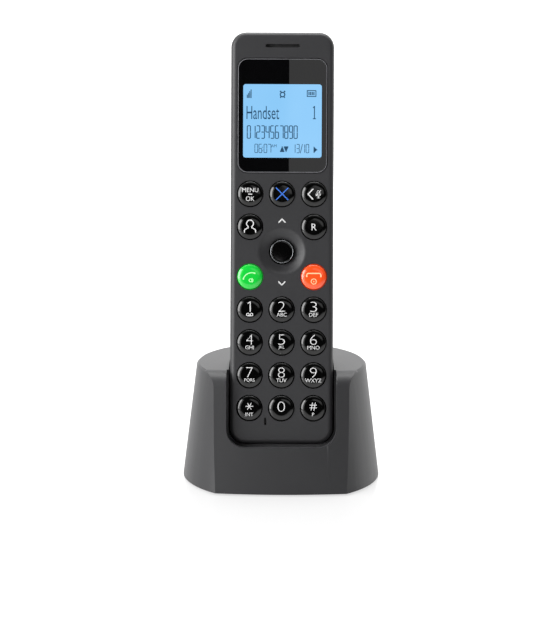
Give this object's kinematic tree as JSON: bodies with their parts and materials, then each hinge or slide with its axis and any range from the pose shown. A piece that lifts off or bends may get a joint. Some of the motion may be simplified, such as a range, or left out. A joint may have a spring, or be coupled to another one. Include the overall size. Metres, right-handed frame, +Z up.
{
  "type": "cordless phone with base",
  "caption": "Slim cordless handset with keypad and display, standing tilted in a tapered round charging base with a flat front.",
  "frame": {"origin": "centre of the whole object's footprint, on the desk under the rubber feet", "axes": "+Z up, +Y from the keypad side to the back, +X to the right as seen by the user"},
  "size_m": [0.086, 0.0774, 0.1924],
  "materials": {
    "base_plastic": "fine texture, matte",
    "handset_plastic": "fine texture, matte",
    "inner_plastic": "satin",
    "foot_rubber": "matte",
    "steel": "zinc plated",
    "contact_metal": "gold flashed",
    "board_green": "solder mask",
    "chip_black": "moulded",
    "lens": "gloss, smoked",
    "display_blue": "lit segment display",
    "backlight": "diffusing light guide",
    "key_black": "high gloss",
    "key_green": "high gloss with a green symbol",
    "key_orange": "high gloss with an orange symbol",
    "ring_metal": "polished",
    "mesh_black": "woven acoustic mesh",
    "speaker_grey": "moulded",
    "silicone": "matte silicone",
    "cell_wrap": "printed sleeve, plain",
    "jack_black": "moulded"
  },
  "bodies": {
    "base": {"base_cover": "base_plastic", "cradle": "base_plastic", "base_bottom": "inner_plastic", "rubber_feet": "foot_rubber", "base_screws": "steel", "base_board": "board_green", "base_board_parts": "chip_black", "ballast_plate": "steel", "dc_jack": "jack_black", "line_jack": "jack_black", "contact_block": "inner_plastic", "charge_contact_left": "contact_metal", "charge_contact_right": "contact_metal", "page_switch": "speaker_grey"},
    "handset": {"front_cover": "handset_plastic", "rear_cover": "handset_plastic", "display_lens": "lens", "display_panel": "display_blue", "backlight_plate": "backlight", "display_frame": "inner_plastic", "earpiece_mesh": "mesh_black", "earpiece_speaker": "speaker_grey", "microphone": "steel", "main_board": "board_green", "shield_can": "steel", "dome_contacts": "steel", "keypad_mat": "silicone", "battery_left": "cell_wrap", "battery_right": "cell_wrap", "battery_springs": "steel", "battery_plates": "steel", "handset_contacts": "contact_metal", "rear_screws": "steel", "ringer_speaker": "speaker_grey"},
    "key_1": {"key_1": "key_black"},
    "key_2": {"key_2": "key_black"},
    "key_3": {"key_3": "key_black"},
    "key_4": {"key_4": "key_black"},
    "key_5": {"key_5": "key_black"},
    "key_6": {"key_6": "key_black"},
    "key_7": {"key_7": "key_black"},
    "key_8": {"key_8": "key_black"},
    "key_9": {"key_9": "key_black"},
    "key_star": {"key_star": "key_black"},
    "key_0": {"key_0": "key_black"},
    "key_hash": {"key_hash": "key_black"},
    "key_menu": {"key_menu": "key_black"},
    "key_cross": {"key_cross": "key_black"},
    "key_back": {"key_back": "key_black"},
    "key_contacts": {"key_contacts": "key_black"},
    "key_recall": {"key_recall": "key_black"},
    "key_talk": {"key_talk": "key_green"},
    "key_end": {"key_end": "key_orange"},
    "nav": {"nav_button": "key_black", "nav_ring": "ring_metal"},
    "battery_door": {"battery_door": "handset_plastic"},
    "page_button": {"page_button": "base_plastic"}
  },
  "joints": [
    {"name": "handset_lift", "type": "slide", "parent": "base", "child": "handset", "axis": [0, 0.1908, 0.9816], "range_m": [0, 0.07]},
    {"name": "key_1_press", "type": "slide", "parent": "handset", "child": "key_1", "axis": [0, 0.9816, -0.1908], "range_m": [0, 0.0006], "stiffness_N_per_m": 800},
    {"name": "key_2_press", "type": "slide", "parent": "handset", "child": "key_2", "axis": [0, 0.9816, -0.1908], "range_m": [0, 0.0006], "stiffness_N_per_m": 800},
    {"name": "key_3_press", "type": "slide", "parent": "handset", "child": "key_3", "axis": [0, 0.9816, -0.1908], "range_m": [0, 0.0006], "stiffness_N_per_m": 800},
    {"name": "key_4_press", "type": "slide", "parent": "handset", "child": "key_4", "axis": [0, 0.9816, -0.1908], "range_m": [0, 0.0006], "stiffness_N_per_m": 800},
    {"name": "key_5_press", "type": "slide", "parent": "handset", "child": "key_5", "axis": [0, 0.9816, -0.1908], "range_m": [0, 0.0006], "stiffness_N_per_m": 800},
    {"name": "key_6_press", "type": "slide", "parent": "handset", "child": "key_6", "axis": [0, 0.9816, -0.1908], "range_m": [0, 0.0006], "stiffness_N_per_m": 800},
    {"name": "key_7_press", "type": "slide", "parent": "handset", "child": "key_7", "axis": [0, 0.9816, -0.1908], "range_m": [0, 0.0006], "stiffness_N_per_m": 800},
    {"name": "key_8_press", "type": "slide", "parent": "handset", "child": "key_8", "axis": [0, 0.9816, -0.1908], "range_m": [0, 0.0006], "stiffness_N_per_m": 800},
    {"name": "key_9_press", "type": "slide", "parent": "handset", "child": "key_9", "axis": [0, 0.9816, -0.1908], "range_m": [0, 0.0006], "stiffness_N_per_m": 800},
    {"name": "key_star_press", "type": "slide", "parent": "handset", "child": "key_star", "axis": [0, 0.9816, -0.1908], "range_m": [0, 0.0006], "stiffness_N_per_m": 800},
    {"name": "key_0_press", "type": "slide", "parent": "handset", "child": "key_0", "axis": [0, 0.9816, -0.1908], "range_m": [0, 0.0006], "stiffness_N_per_m": 800},
    {"name": "key_hash_press", "type": "slide", "parent": "handset", "child": "key_hash", "axis": [0, 0.9816, -0.1908], "range_m": [0, 0.0006], "stiffness_N_per_m": 800},
    {"name": "key_menu_press", "type": "slide", "parent": "handset", "child": "key_menu", "axis": [0, 0.9816, -0.1908], "range_m": [0, 0.0006], "stiffness_N_per_m": 800},
    {"name": "key_cross_press", "type": "slide", "parent": "handset", "child": "key_cross", "axis": [0, 0.9816, -0.1908], "range_m": [0, 0.0006], "stiffness_N_per_m": 800},
    {"name": "key_back_press", "type": "slide", "parent": "handset", "child": "key_back", "axis": [0, 0.9816, -0.1908], "range_m": [0, 0.0006], "stiffness_N_per_m": 800},
    {"name": "key_contacts_press", "type": "slide", "parent": "handset", "child": "key_contacts", "axis": [0, 0.9816, -0.1908], "range_m": [0, 0.0006], "stiffness_N_per_m": 800},
    {"name": "key_recall_press", "type": "slide", "parent": "handset", "child": "key_recall", "axis": [0, 0.9816, -0.1908], "range_m": [0, 0.0006], "stiffness_N_per_m": 800},
    {"name": "key_talk_press", "type": "slide", "parent": "handset", "child": "key_talk", "axis": [0, 0.9816, -0.1908], "range_m": [0, 0.0006], "stiffness_N_per_m": 800},
    {"name": "key_end_press", "type": "slide", "parent": "handset", "child": "key_end", "axis": [0, 0.9816, -0.1908], "range_m": [0, 0.0006], "stiffness_N_per_m": 800},
    {"name": "nav_rock", "type": "hinge", "parent": "handset", "child": "nav", "pos_m": [0, -0.00885, 0.10005], "axis": [1, 0, 0], "range_deg": [-3, 3], "stiffness_Nm_per_rad": 0.08},
    {"name": "battery_door_hinge", "type": "hinge", "parent": "handset", "child": "battery_door", "pos_m": [0, 0.00727, 0.09387], "axis": [-1, 0, 0], "range_deg": [0, 35]},
    {"name": "page_button_press", "type": "slide", "parent": "base", "child": "page_button", "axis": [0, -1, 0], "range_m": [0, 0.0008], "stiffness_N_per_m": 600}
  ]
}
